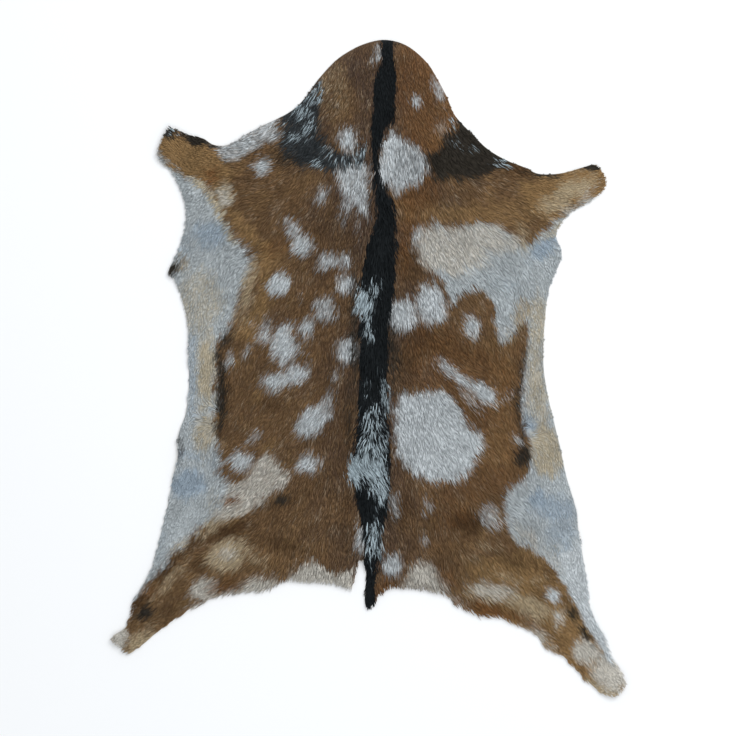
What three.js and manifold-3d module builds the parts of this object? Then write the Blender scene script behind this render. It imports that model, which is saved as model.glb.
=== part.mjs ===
// Goatskin rug: one tanned goat hide with its hair on, laid flat on the floor with the hair side up.
// Millimetres, +Z up. +Y points to the neck, +X to the right of it. The origin is on the floor,
// under the middle of the hide.
//
// The hide is one body. Its underside is the flat skin side. Its upper side is the lie of the
// hair: high along the back, low and thin at the flanks and legs. At the rim the hair runs out
// in pointed locks.
import * as THREE from "three";
import { mergeVertices } from "three/addons/utils/BufferGeometryUtils.js";
import Module from "manifold-3d";

const wasm = await Module();
wasm.setup();

// Driving dimensions
const skinThickness = 1.3;
const bodyHair = 6; // depth of the lying hair on the back and shoulders
const ridgeHair = 3.4; // how much deeper it is on the line of the back
const ridgeHalfWidth = 17;
const lumpDepth = 1.1; // tufts that rise and dip by this much
const leastHair = 0.6;
const rimSlope = 24; // width of the border along which the hair thins out
const rimShare = 0.42; // share of the full depth that is left at the edge itself
const rimStep = 11; // spacing of the points of the rim
const hairCell = 17; // spacing of the points that carry the upper side
const groundCell = 34; // spacing of the points that carry the underside
const blockDepth = 40; // the blocks that the hide is cut from
const weld = 1e-4; // points closer than this are one

// A short table: the names of its columns, then its rows.
function table(columns, rows) {
  const names = columns.split(" ");
  return rows.map((row) =>
    Object.fromEntries(row.map((value, i) => [names[i], value])),
  );
}

// The rim as it is seen from above, clockwise from the crown of the neck, one table a stretch.
// across is the distance to the right of the middle, along the distance towards the neck.
const stretch = (rows) => table("across along", rows);
const rim = {
  neckRight: stretch([
    [25, 474], [56, 466], [87, 440], [99, 421], [115, 391],
  ]),
  shoulderRight: stretch([
    [125, 367], [155, 334], [174, 316], [201, 300], [229, 289], [245, 281],
    [278, 281], [312, 290],
  ]),
  forelegRight: stretch([
    [328, 294], [339, 283], [344, 264], [334, 251], [317, 238], [297, 227],
    [281, 211], [272, 193], [281, 166],
  ]),
  flankRight: stretch([
    [275, 147], [263, 117], [256, 69], [254, 7], [259, -32], [279, -118],
    [287, -156], [302, -208], [304, -230], [315, -296], [322, -348],
  ]),
  hindLegRight: stretch([
    [346, -396], [360, -427], [370, -441], [372, -456], [366, -469], [353, -475],
    [337, -472], [323, -461], [287, -424], [271, -411], [242, -388],
  ]),
  rumpRight: stretch([
    [206, -368], [190, -361], [155, -355], [119, -341], [111, -329], [79, -321],
    [47, -318], [32, -318], [20, -329],
  ]),
  tail: stretch([
    [12, -341], [2, -349], [-4, -347], [-6, -322], [-4, -300],
  ]),
  notchByTail: stretch([
    [-9, -276], [-14, -286], [-17, -302],
  ]),
  rumpLeft: stretch([
    [-18, -315], [-32, -318], [-48, -313], [-97, -309], [-118, -308], [-145, -321],
    [-181, -326], [-219, -334],
  ]),
  hindLegLeft: stretch([
    [-265, -357], [-301, -383], [-326, -404], [-344, -413], [-359, -404],
    [-371, -387], [-353, -374], [-343, -358], [-339, -342], [-327, -313],
  ]),
  flankLeft: stretch([
    [-314, -296], [-299, -238], [-287, -188], [-281, -154], [-275, -133],
    [-274, -97], [-263, -64], [-259, -27], [-259, 12], [-261, 68], [-274, 116],
  ]),
  elbowLeft: stretch([
    [-288, 139], [-280, 156], [-265, 199], [-263, 232],
  ]),
  forelegLeft: stretch([
    [-271, 258], [-298, 296], [-305, 310], [-298, 328], [-290, 344], [-283, 347],
    [-257, 337], [-223, 323],
  ]),
  shoulderLeft: stretch([
    [-199, 323], [-162, 345], [-112, 369],
  ]),
  neckLeft: stretch([
    [-92, 387], [-71, 417], [-47, 443], [-31, 455], [-5, 468],
  ]),
};

// The line of the back, from the neck to the tail.
const back = table("along across", [
  [480, 28],
  [330, 12],
  [250, 27],
  [130, 16],
  [-40, 5],
  [-160, 4],
  [-360, 3],
]);

// Where the hair is deeper or thinner than on the body: the middle of each place, how far it
// reaches across and along, and the depth of the hair there.
const coat = table("place across along reachAcross reachAlong depth", [
  ["crown of the neck", 20, 440, 75, 45, 4.6],
  ["grey tuft on the loin", 5, -120, 34, 60, 8.6],
  ["dock of the tail", 3, -270, 34, 50, 7.4],
  ["left armpit", -248, 165, 42, 75, 2.6],
  ["left flank", -252, 10, 36, 105, 2.9],
  ["left groin", -268, -165, 46, 80, 2.4],
  ["right armpit", 262, 150, 42, 70, 2.6],
  ["right flank", 248, 0, 34, 105, 2.9],
  ["right groin", 286, -190, 42, 95, 2.4],
  ["left foreleg", -270, 308, 48, 34, 4.4],
  ["right foreleg", 300, 264, 52, 34, 4.4],
  ["left hind leg", -318, -368, 52, 44, 4.6],
  ["right hind leg", 334, -430, 50, 52, 4.6],
]);

// The whorls of the two flanks, where the hair turns and leaves a small hollow.
const whorls = table("across along reach dip", [
  [-229, -64, 20, 1.4],
  [235, -87, 20, 1.4],
]);

// A dried hide doesn't lie dead flat at its edge. Each row is one place that stands off the floor.
const cockles = table("place across along reach lift", [
  ["left foreleg tip", -312, 330, 46, 6.5],
  ["right foreleg tip", 352, 272, 52, 8],
  ["left elbow nub", -300, 139, 24, 3.5],
  ["left flank fold", -290, -130, 44, 4.5],
  ["left waist", -272, 30, 32, 3],
  ["right waist", 268, 40, 36, 3.5],
  ["right groin fold", 318, -220, 50, 5],
  ["left hind tip", -378, -400, 46, 5],
  ["right hind tip", 380, -470, 50, 7],
  ["crown", 40, 488, 46, 3.5],
]);

// The hair at the rim, by stretch. hidden is how far the edge of the skin lies inside the rim as
// seen, reach is how far the longest locks stand past that edge, spacing is from lock to lock.
const fringe = table("stretch hidden reach spacing", [
  ["neckRight", 1, 5, 17],
  ["shoulderRight", 2, 7, 16],
  ["forelegRight", 2.5, 6, 16],
  ["flankRight", 1, 4, 34],
  ["hindLegRight", 3.5, 8, 13],
  ["rumpRight", 4.5, 12, 12],
  ["tail", 4, 9, 11],
  ["notchByTail", 2, 4, 14],
  ["rumpLeft", 4.5, 11, 12],
  ["hindLegLeft", 3.5, 8, 13],
  ["flankLeft", 1, 4, 34],
  ["elbowLeft", 1, 5, 22],
  ["forelegLeft", 2.5, 6, 16],
  ["shoulderLeft", 2, 7, 16],
  ["neckLeft", 1, 5, 17],
]);
const lockWidth = 7.5;
const lockRootInside = 7; // the root of a lock is this far inside the edge of the skin
const lockRidge = 0.85; // height of a lock's root, as a share of the coat beside it
const lockRootShare = 0.8; // width of a lock's root, as a share of its greatest width
const lockWidestAt = 0.55; // share of its length at which a lock is widest
const lockWaist = 0.8; // its height there, as a share of the height of its root
const lockBend = 0.1; // how far a lock bends to one side, as a share of its length
const lockSideways = 0.45; // reach of a lock that lies along the edge, as a share of the full one
const lockLayPull = 0.4; // how strongly the lie of the hair turns even a lock that lies along it
const lockEdgePull = 0.75; // how strongly the edge turns a lock straight outwards
const lockLeastOutward = 0.35;
const unevenReach = [0.6, 1];
const unevenWidth = [0.75, 1.2];
const unevenSpacing = [0.85, 1.15];
const unevenPlace = [-0.4, 0.4];
const acrossHide = 190; // this far from the back the hair lies as far out to the side as it gets
const steepestLay = 0.9; // how far out to the side that is, for each step along

// Only the middle of a cockle stands off the floor: this share of it at its foot lies flat.
const cockleFoot = 0.2;

// Long shallow tufts lie down the sides of the back. They are two waves that cross: each has its
// length, how far the other way bends it and over what length, and its share of the depth.
const tuftsDown = { length: 17, bend: 1.4, bendLength: 23, share: 0.6 };
const tuftsAside = { length: 11, bend: 1.7, bendLength: 31, share: 0.4 };
const tuftSlant = 0.55; // how far a tuft runs down for each step out from the back
const tuftSkew = 0.45; // how far it runs aside for each step along

const smooth = (t) => THREE.MathUtils.smoothstep(t, 0, 1);
const bell = (distance, reach) => Math.exp(-((distance / reach) ** 2));

// Repeatable chance, so that every build gives the same locks.
let seed = 41;
function chance(low, high) {
  seed = (seed * 48271) % 2147483647;
  return low + (high - low) * (seed / 2147483647);
}

// One smooth closed curve through the points of every stretch, as evenly spaced points. Each
// knows the hair of the stretch it lies on.
function walkRim() {
  const marks = Object.entries(rim).flatMap(([name, points]) =>
    points.map((point) => ({ name, ...point })),
  );
  const curve = new THREE.CatmullRomCurve3(
    marks.map((mark) => new THREE.Vector3(mark.across, mark.along, 0)),
    true,
    "centripetal",
  );
  const count = Math.round(curve.getLength() / rimStep);
  const walk = [];
  for (let i = 0; i < count; i++) {
    const t = curve.getUtoTmapping(i / count);
    const tangent = curve.getTangent(t);
    const name = marks[Math.floor(t * marks.length) % marks.length].name;
    walk.push({
      point: curve.getPoint(t),
      outward: new THREE.Vector3(-tangent.y, tangent.x, 0),
      ...fringe.find((row) => row.stretch === name),
    });
  }
  return walk;
}

// The edge of the skin, a little inside the rim.
const skinEdge = walkRim().map((stop) => ({
  ...stop,
  point: stop.point.clone().addScaledVector(stop.outward, -stop.hidden),
}));

function distanceToEdge(x, y) {
  let nearest = Infinity;
  skinEdge.forEach(({ point: a }, i) => {
    const b = skinEdge[(i + 1) % skinEdge.length].point;
    const [dx, dy] = [b.x - a.x, b.y - a.y];
    const share = ((x - a.x) * dx + (y - a.y) * dy) / (dx * dx + dy * dy);
    const t = THREE.MathUtils.clamp(share, 0, 1);
    nearest = Math.min(nearest, Math.hypot(x - a.x - t * dx, y - a.y - t * dy));
  });
  return nearest;
}

// Across-position of the line of the back.
function backAt(along) {
  const after = back.findIndex((row) => row.along < along);
  if (after === 0) return back[0].across;
  if (after < 0) return back[back.length - 1].across;
  const [high, low] = [back[after - 1], back[after]];
  const share = (high.along - along) / (high.along - low.along);
  return THREE.MathUtils.lerp(high.across, low.across, smooth(share));
}

// Height of the skin side over the floor. It is exactly 0 away from the cockled places.
function liftAt(x, y) {
  return cockles.reduce((height, place) => {
    const near = bell(Math.hypot(x - place.across, y - place.along), place.reach);
    return height + place.lift * Math.max(0, near - cockleFoot);
  }, 0);
}

function lumpsAt(x, y) {
  const down = y + tuftSlant * Math.abs(x - backAt(y));
  const aside = x + tuftSkew * y;
  const wave = (tufts, along, over) =>
    tufts.share *
    Math.sin(along / tufts.length + tufts.bend * Math.sin(over / tufts.bendLength));
  return wave(tuftsDown, down, aside) + wave(tuftsAside, aside, down);
}

function hairDepthAt(x, y) {
  let depth = bodyHair + ridgeHair * bell(x - backAt(y), ridgeHalfWidth);
  for (const place of coat) {
    const across = (x - place.across) / place.reachAcross;
    const along = (y - place.along) / place.reachAlong;
    const away = Math.hypot(across, along);
    depth += (place.depth - depth) * Math.exp(-(away ** 3));
  }
  for (const whorl of whorls) {
    const away = Math.hypot(x - whorl.across, y - whorl.along);
    depth -= whorl.dip * bell(away, whorl.reach);
  }
  return depth + lumpDepth * lumpsAt(x, y) * (depth / bodyHair);
}

function thicknessAt(x, y) {
  const inward = smooth(distanceToEdge(x, y) / rimSlope);
  const share = rimShare + (1 - rimShare) * inward;
  return skinThickness + Math.max(leastHair, hairDepthAt(x, y) * share);
}

// A closed geometry as a solid that can be joined and cut.
function solidOf(geometry) {
  const bare = geometry.index ? geometry.toNonIndexed() : geometry.clone();
  bare.deleteAttribute("normal");
  bare.deleteAttribute("uv");
  const merged = mergeVertices(bare, weld);
  return new wasm.Manifold(
    new wasm.Mesh({
      numProp: 3,
      vertProperties: merged.attributes.position.array,
      triVerts: new Uint32Array(merged.index.array),
    }),
  );
}

function geometryOf(solid) {
  const mesh = solid.getMesh();
  const geometry = new THREE.BufferGeometry();
  const position = new THREE.BufferAttribute(mesh.vertProperties, mesh.numProp);
  geometry.setAttribute("position", position);
  geometry.setIndex(new THREE.BufferAttribute(mesh.triVerts, 1));
  return geometry;
}

function closedGeometry(points, faces) {
  const geometry = new THREE.BufferGeometry();
  const flat = new Float32Array(points.flat());
  geometry.setAttribute("position", new THREE.BufferAttribute(flat, 3));
  geometry.setIndex(faces);
  return geometry;
}

// A block with a flat base and an uneven top, wider than the hide. Its top is a net of nearly
// equal triangles, on rows that are shifted by half a cell in turn.
function unevenBlock(cell, base, heightAt) {
  const rowStep = (cell * Math.sqrt(3)) / 2;
  const box = new THREE.Box3().setFromPoints(skinEdge.map((stop) => stop.point));
  const margin = 2 * cell;
  const columns = Math.ceil((box.max.x - box.min.x + 2 * margin) / cell);
  const rows = Math.ceil((box.max.y - box.min.y + 2 * margin) / rowStep);
  const top = [];
  for (let row = 0; row <= rows; row++) {
    for (let column = 0; column <= columns; column++) {
      const shift = row % 2 ? 0.25 : -0.25;
      const x = box.min.x - margin + (column + shift) * cell;
      const y = box.min.y - margin + row * rowStep;
      top.push([x, y, heightAt(x, y)]);
    }
  }
  const under = top.map(([x, y]) => [x, y, base]);
  const at = (row, column) => row * (columns + 1) + column;
  const below = (i) => i + top.length;
  const faces = [];
  const face = (a, b, c) => {
    faces.push(a, b, c, below(a), below(c), below(b));
  };
  for (let row = 0; row < rows; row++) {
    for (let column = 0; column < columns; column++) {
      const [a, b] = [at(row, column), at(row, column + 1)];
      const [c, d] = [at(row + 1, column + 1), at(row + 1, column)];
      if (row % 2) {
        face(a, b, c);
        face(a, c, d);
      } else {
        face(a, b, d);
        face(b, c, d);
      }
    }
  }
  const border = [];
  for (let column = 0; column < columns; column++) border.push(at(0, column));
  for (let row = 0; row < rows; row++) border.push(at(row, columns));
  for (let column = columns; column > 0; column--) border.push(at(rows, column));
  for (let row = rows; row > 0; row--) border.push(at(row, 0));
  border.forEach((a, i) => {
    const b = border[(i + 1) % border.length];
    faces.push(below(a), below(b), b, below(a), b, a);
  });
  return closedGeometry([...top, ...under], faces);
}

// The hide without its locks: everything under the hair's surface and inside the edge of the
// skin, less the uneven ground that the skin side follows.
function slab() {
  const hair = unevenBlock(hairCell, -blockDepth, (x, y) => liftAt(x, y) + thicknessAt(x, y));
  const ground = unevenBlock(groundCell, -2 * blockDepth, liftAt);
  const outline = new THREE.Shape(
    skinEdge.map((stop) => new THREE.Vector2(stop.point.x, stop.point.y)),
  );
  const cutter = new THREE.ExtrudeGeometry(outline, {
    depth: 2 * blockDepth,
    bevelEnabled: false,
  });
  cutter.translate(0, 0, -blockDepth / 2);
  return solidOf(hair).intersect(solidOf(cutter)).subtract(solidOf(ground));
}

// The way the hair lies: down the back to the tail, and out to each side.
function layAt(x, y) {
  const side = x - backAt(y);
  const outwards = THREE.MathUtils.clamp(side / acrossHide, -1, 1) * steepestLay;
  return new THREE.Vector3(outwards, -1, 0).normalize();
}

// One lock: three sides, flat below, widest about halfway along, drawn out to a point. It leans
// out of the edge and with the lie of the hair, and reaches furthest where the two agree.
function lock(stop) {
  const lay = layAt(stop.point.x, stop.point.y);
  const leaning = THREE.MathUtils.clamp(lay.dot(stop.outward), 0, 1);
  const reachShare = lockSideways + (1 - lockSideways) * leaning;
  const past = stop.reach * reachShare * chance(...unevenReach);
  const way = lay
    .clone()
    .multiplyScalar(lockLayPull + leaning)
    .addScaledVector(stop.outward, lockEdgePull)
    .normalize();
  const side = new THREE.Vector3(-way.y, way.x, 0);
  const root = stop.point.clone().addScaledVector(stop.outward, -lockRootInside);
  const outerShare = Math.max(lockLeastOutward, way.dot(stop.outward));
  const length = (lockRootInside + past) / outerShare;
  const bend = chance(-lockBend, lockBend) * length;
  const halfWidth = (lockWidth / 2) * chance(...unevenWidth);
  const floor = liftAt(stop.point.x, stop.point.y);
  const height = lockRidge * thicknessAt(stop.point.x, stop.point.y);
  const section = (share, half, ridge) => {
    const middle = root
      .clone()
      .addScaledVector(way, share * length)
      .addScaledVector(side, bend * share * share);
    const left = middle.clone().addScaledVector(side, half);
    const right = middle.clone().addScaledVector(side, -half);
    return [
      [left.x, left.y, floor],
      [right.x, right.y, floor],
      [middle.x, middle.y, floor + ridge],
    ];
  };
  const points = [
    ...section(0, lockRootShare * halfWidth, height),
    ...section(lockWidestAt, halfWidth, lockWaist * height),
    section(1, 0, 0)[0],
  ];
  const tip = points.length - 1;
  const faces = [0, 1, 2];
  for (let a = 0; a < 3; a++) {
    const b = (a + 1) % 3;
    faces.push(a, a + 3, b + 3, a, b + 3, b, a + 3, tip, b + 3);
  }
  return closedGeometry(points, faces);
}

function locks() {
  const made = [];
  let sinceLast = 0;
  for (const stop of skinEdge) {
    sinceLast += rimStep;
    while (sinceLast >= stop.spacing) {
      sinceLast -= stop.spacing * chance(...unevenSpacing);
      const shift = chance(...unevenPlace) * rimStep;
      const along = new THREE.Vector3(stop.outward.y, -stop.outward.x, 0);
      const point = stop.point.clone().addScaledVector(along, shift);
      made.push(solidOf(lock({ ...stop, point })));
    }
  }
  return made;
}

const haired = wasm.Manifold.union([slab(), ...locks()]);

const coatMaterial = new THREE.MeshStandardMaterial({
  color: 0x6b4a30,
  roughness: 0.85,
  metalness: 0,
});
const goatskin = new THREE.Mesh(geometryOf(haired), coatMaterial);
goatskin.name = "goatskin";
goatskin.geometry.computeVertexNormals();

const rug = new THREE.Group();
rug.add(goatskin);
export default rug;
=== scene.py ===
# %% [markdown]
# Goatskin rug
#
# This lesson builds one whole goat hide, tanned with its hair on and laid out flat, hair side up.
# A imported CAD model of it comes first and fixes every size. On the real object there are two
# things to make: the skin, which is a thin sheet of leather, and the coat, which is many
# thousands of locks of hair that lie the same way. The coat's colour isn't a picture laid over it.
# Each lock takes its colour from the mark where it grows, and the ragged marks come from that.

import math

import bpy
import numpy as np
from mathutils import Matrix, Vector, noise
from mathutils.bvhtree import BVHTree
from mathutils.geometry import delaunay_2d_cdt


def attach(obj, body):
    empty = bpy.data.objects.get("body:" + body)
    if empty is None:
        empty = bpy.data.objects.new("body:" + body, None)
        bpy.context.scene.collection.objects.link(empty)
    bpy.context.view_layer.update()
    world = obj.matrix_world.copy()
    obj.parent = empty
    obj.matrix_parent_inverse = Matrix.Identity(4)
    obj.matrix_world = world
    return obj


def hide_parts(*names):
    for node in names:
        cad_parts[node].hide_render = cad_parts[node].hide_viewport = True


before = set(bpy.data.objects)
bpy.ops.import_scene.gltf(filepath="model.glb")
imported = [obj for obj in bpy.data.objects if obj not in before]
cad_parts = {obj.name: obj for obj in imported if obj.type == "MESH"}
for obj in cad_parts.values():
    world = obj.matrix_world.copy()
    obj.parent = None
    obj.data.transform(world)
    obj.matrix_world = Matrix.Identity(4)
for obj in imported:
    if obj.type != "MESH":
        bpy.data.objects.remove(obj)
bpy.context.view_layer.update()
MM = 0.001

# %% [markdown]
# The rim of the hide
#
# A hide is trimmed with a knife, so its rim has long smooth stretches, with a corner at each leg
# and a narrow tongue for the tail. The rim is a table of points, clockwise from the crown of the
# neck, in millimetres: first the distance to the right of the middle, then the distance towards
# the neck. They are the same points as in the CAD source. Beside each stretch stands how far the
# cut edge of the skin hides under the overhanging hair there.

# %% The rim, stretch by stretch
RIM = {
    "neck right": (0, [(25, 474), (56, 466), (87, 440), (99, 421), (115, 391)]),
    "shoulder right": (0, [(125, 367), (155, 334), (174, 316), (201, 300), (229, 289), (245, 281),
        (278, 281), (312, 290)]),
    "foreleg right": (0.5, [(328, 294), (339, 283), (344, 264), (334, 251), (317, 238), (297, 227),
        (281, 211), (272, 193), (281, 166)]),
    "flank right": (0, [(275, 147), (263, 117), (256, 69), (254, 7), (259, -32), (279, -118),
        (287, -156), (302, -208), (304, -230), (315, -296), (322, -348)]),
    "hind leg right": (3, [(346, -396), (360, -427), (370, -441), (372, -456), (366, -469), (353, -475),
        (337, -472), (323, -461), (287, -424), (274, -413), (264, -410), (249, -398), (242, -388)]),
    "rump right": (5, [(206, -368), (190, -361), (162, -359), (148, -353), (130, -344), (119, -341),
        (111, -329), (79, -321), (47, -318), (32, -318), (20, -329)]),
    "tail": (2.5, [(12, -341), (2, -349), (-4, -347), (-6, -322), (-4, -300)]),
    "notch by the tail": (2, [(-9, -276), (-14, -286), (-17, -302)]),
    "rump left": (5, [(-18, -315), (-32, -318), (-48, -313), (-97, -309), (-118, -308), (-145, -321),
        (-181, -326), (-219, -334)]),
    "hind leg left": (3, [(-265, -357), (-301, -383), (-326, -404), (-344, -413), (-359, -404),
        (-371, -387), (-353, -374), (-343, -358), (-339, -342), (-327, -313)]),
    "flank left": (1, [(-314, -296), (-299, -238), (-287, -188), (-281, -154), (-275, -133),
        (-274, -97), (-263, -64), (-259, -27), (-259, 12), (-261, 68), (-274, 116)]),
    "elbow left": (1, [(-279, 127), (-288, 139), (-280, 156), (-265, 199), (-263, 232)]),
    "foreleg left": (1.5, [(-271, 258), (-275, 268), (-284, 282), (-295, 293), (-304, 307), (-298, 328),
        (-290, 344), (-283, 347), (-257, 337), (-237, 333), (-223, 324)]),
    "shoulder left": (0, [(-210, 321), (-199, 323), (-162, 345), (-112, 370)]),
    "neck left": (0, [(-92, 388), (-71, 417), (-47, 443), (-31, 455), (-5, 468)]),
}
rim_points = np.array([point for _, points in RIM.values() for point in points], float)
rim_hidden = np.array([hidden for hidden, points in RIM.values() for _ in points], float)
print("rim points:", len(rim_points))


# %% A smooth closed line through the rim points
def smooth_rim(step):
    """Points every step millimetres along a centripetal Catmull-Rom curve, and what hides there."""
    count = len(rim_points)
    line = []
    for i in range(count):
        p0, p1, p2, p3 = (rim_points[(i + k) % count] for k in (-1, 0, 1, 2))
        t0 = 0.0
        t1 = t0 + np.linalg.norm(p1 - p0) ** 0.5
        t2 = t1 + np.linalg.norm(p2 - p1) ** 0.5
        t3 = t2 + np.linalg.norm(p3 - p2) ** 0.5
        h1, h2 = rim_hidden[i], rim_hidden[(i + 1) % count]
        for share in np.linspace(0, 1, 24, endpoint=False):
            t = t1 + share * (t2 - t1)
            a1 = ((t1 - t) * p0 + (t - t0) * p1) / (t1 - t0)
            a2 = ((t2 - t) * p1 + (t - t1) * p2) / (t2 - t1)
            a3 = ((t3 - t) * p2 + (t - t2) * p3) / (t3 - t2)
            b1 = ((t2 - t) * a1 + (t - t0) * a2) / (t2 - t0)
            b2 = ((t3 - t) * a2 + (t - t1) * a3) / (t3 - t1)
            place = ((t2 - t) * b1 + (t - t1) * b2) / (t2 - t1)
            line.append((place[0], place[1], h1 + share * (h2 - h1)))
    line = np.array(line)
    closed = np.vstack([line, line[:1]])
    walked = np.concatenate([[0], np.cumsum(np.hypot(*np.diff(closed[:, :2], axis=0).T))])
    stops = np.linspace(0, walked[-1], round(walked[-1] / step), endpoint=False)
    return np.column_stack([np.interp(stops, walked, closed[:, k]) for k in range(3)])


seen_rim = smooth_rim(4)
print("seen rim:", len(seen_rim), "points")

# %% [markdown]
# How far a place is from the rim
#
# Much depends on the distance to the rim: where the skin ends, how long a lock may be before it
# hangs over the floor, and how the hair thins out. One function gives that distance, positive
# inside, and the direction that leads straight out.


# %% Distance to a closed outline
def inside_by(x, y, outline):
    """Distance to the outline, positive inside and negative outside."""
    ends = np.roll(outline, -1, axis=0)
    nearest = np.full(x.shape, 1e9)
    crossings = np.zeros(x.shape, int)
    for (ax, ay), (bx, by) in zip(outline, ends):
        dx, dy = bx - ax, by - ay
        share = np.clip(((x - ax) * dx + (y - ay) * dy) / (dx * dx + dy * dy + 1e-9), 0, 1)
        nearest = np.minimum(nearest, np.hypot(x - ax - share * dx, y - ay - share * dy))
        if ay != by:
            beside = (ay > y) != (by > y)
            crossings += beside & (x < dx * (y - ay) / dy + ax)
    return np.where(crossings % 2, nearest, -nearest)


def way_out(x, y, outline):
    """Unit vectors that point from each place to the nearest side of the outline."""
    step = 1.0
    dx = inside_by(x + step, y, outline) - inside_by(x - step, y, outline)
    dy = inside_by(x, y + step, outline) - inside_by(x, y - step, outline)
    size = np.hypot(dx, dy) + 1e-9
    return -dx / size, -dy / size


# %% [markdown]
# Heights come from the CAD solid
#
# The hide doesn't lie dead flat. Its edge cockles off the floor in a few places, and the hair is
# deepest on the line of the back. The CAD solid already has both, so a ray from below finds the
# skin side and a ray from above finds the lie of the hair.

# %% Read the heights of the CAD solid
cad_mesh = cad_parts["goatskin"].data
cad_points = [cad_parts["goatskin"].matrix_world @ v.co for v in cad_mesh.vertices]
cad_solid = BVHTree.FromPolygons(cad_points, [tuple(p.vertices) for p in cad_mesh.polygons])


def cad_heights(x, y):
    """Underside and top of the CAD solid over each place, in millimetres."""
    low, high = [], []
    for across, along in zip(x * MM, y * MM):
        under = cad_solid.ray_cast(Vector((across, along, -0.05)), Vector((0, 0, 1)))[0]
        over = cad_solid.ray_cast(Vector((across, along, 0.1)), Vector((0, 0, -1)))[0]
        if under is None or over is None:
            near = cad_solid.find_nearest(Vector((across, along, 0.0)))[0]
            under, over = near, near + Vector((0, 0, 0.003))
        low.append(under.z / MM)
        high.append(over.z / MM)
    return np.array(low), np.array(high)


# %% [markdown]
# A thin slab that fills an outline
#
# Both the leather and the mat of short hair under the locks are thin closed slabs. Each is made
# the same way: points on the outline and in a triangular net inside it are joined by a Delaunay
# triangulation, which gives nearly equal triangles and keeps the outline exactly. The top is that
# net, the underside is a copy of it turned over, and a band of quads closes the rim.


# %% Make a slab
def net_inside(outline, cell):
    """The outline's points, then the points of a triangular net at least half a cell inside it."""
    low, high = outline.min(axis=0), outline.max(axis=0)
    rows = np.arange(low[1], high[1], cell * math.sqrt(3) / 2)
    columns = np.arange(low[0] - cell, high[0] + cell, cell)
    x = np.concatenate([columns + (cell / 2) * (k % 2) for k in range(len(rows))])
    y = np.repeat(rows, len(columns))
    inside = inside_by(x, y, outline) > 0.55 * cell
    return np.vstack([outline, np.column_stack([x[inside], y[inside]])])


def put_in_scene(name, data):
    """A new object in the scene, made of this mesh, light or camera."""
    thing = bpy.data.objects.new(name, data)
    bpy.context.collection.objects.link(thing)
    return thing


def make_slab(name, outline, cell, heights):
    """A closed slab. heights(x, y) gives the height of its underside and of its top."""
    flat = net_inside(outline, cell)
    border = len(outline)
    edges = [(i, (i + 1) % border) for i in range(border)]
    found = delaunay_2d_cdt([Vector(p) for p in flat], edges, [], 1, 1e-6)
    places = np.array([tuple(p) for p in found[0]])
    faces = np.array([face for face in found[2] if len(face) == 3])
    a, b, c = (places[faces[:, k]] for k in range(3))
    turned = (b - a)[:, 0] * (c - a)[:, 1] - (b - a)[:, 1] * (c - a)[:, 0] < 0
    faces[turned] = faces[turned][:, ::-1]
    low, high = heights(places[:, 0], places[:, 1])
    count = len(places)
    top = np.column_stack([places, high])
    under = np.column_stack([places, low])
    once = {}
    for face in faces.tolist():
        for start, end in zip(face, face[1:] + face[:1]):
            if once.pop((end, start), None) is None:
                once[(start, end)] = True
    walls = [(start + count, end + count, end, start) for start, end in once]
    mesh = bpy.data.meshes.new(name)
    mesh.from_pydata(
        (np.vstack([top, under]) * MM).tolist(),
        [],
        faces.tolist() + (faces[:, ::-1] + count).tolist() + walls,
    )
    mesh.polygons.foreach_set("use_smooth", np.ones(len(mesh.polygons), bool))
    return put_in_scene(name, mesh), places


def lay_flat_uv(piece):
    """A map for baking: the top fills the left half of the picture, the underside the right."""
    mesh = piece.data
    spots = np.empty(len(mesh.vertices) * 3)
    mesh.vertices.foreach_get("co", spots)
    spots = spots.reshape(-1, 3)
    low, high = spots[:, :2].min(axis=0), spots[:, :2].max(axis=0)
    share = (spots[:, :2] - low) / (high - low)
    corners = np.empty(len(mesh.loops), int)
    mesh.loops.foreach_get("vertex_index", corners)
    per_face = np.empty(len(mesh.polygons), int)
    mesh.polygons.foreach_get("loop_total", per_face)
    normals = np.empty(len(mesh.polygons) * 3)
    mesh.polygons.foreach_get("normal", normals)
    below = np.repeat(normals.reshape(-1, 3)[:, 2] < -0.5, per_face)
    uv = 0.01 + 0.98 * share[corners]
    uv[:, 0] = 0.5 * uv[:, 0] + 0.5 * below
    layer = mesh.uv_layers.new(name="OFBake")
    layer.data.foreach_set("uv", uv.astype(np.float32).ravel())


# %% [markdown]
# The skin
#
# The leather is 1.3 mm thick. From above it is covered by hair, apart from glimpses at the thin
# flanks. From below all of it shows, with the nap that tanning and shaving leave. Its edge stays
# a few millimetres inside the rim that one sees, because the hair hangs over it.

# %% Cut the skin
SKIN_THICKNESS = 1.3
out_x, out_y = way_out(seen_rim[:, 0], seen_rim[:, 1], seen_rim[:, :2])
skin_edge = seen_rim[:, :2] - seen_rim[:, 2:] * np.column_stack([out_x, out_y])


def skin_heights(x, y):
    low, _ = cad_heights(x, y)
    return low, low + SKIN_THICKNESS


skin, _ = make_slab("tanned_skin", skin_edge[::2], 7, skin_heights)
lay_flat_uv(skin)
print("skin:", len(skin.data.polygons), "faces")

# %% [markdown]
# The mat of short hair
#
# Goats have fine short hair under the long hair. Here it is a slab that stands on the skin and
# fills the lower part of the coat. It also carries everything that the locks must know where they
# grow: which way the hair lies, how long it is, and what colour it has.

# %% Lay the mat on the skin
MAT_SHARE = 0.6  # how much of the coat's depth the short hair fills
MAT_RIM = 12  # millimetres over which it thins out towards the rim
MAT_RIM_SHARE = 0.35  # and what is left of it there


def mat_heights(x, y):
    low, high = cad_heights(x, y)
    inward = np.clip(inside_by(x, y, skin_edge) / MAT_RIM, 0, 1)
    fullness = MAT_RIM_SHARE + (1 - MAT_RIM_SHARE) * inward
    depth = np.maximum(high - low - SKIN_THICKNESS, 0.5)
    return low + SKIN_THICKNESS, low + SKIN_THICKNESS + depth * MAT_SHARE * fullness


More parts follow.
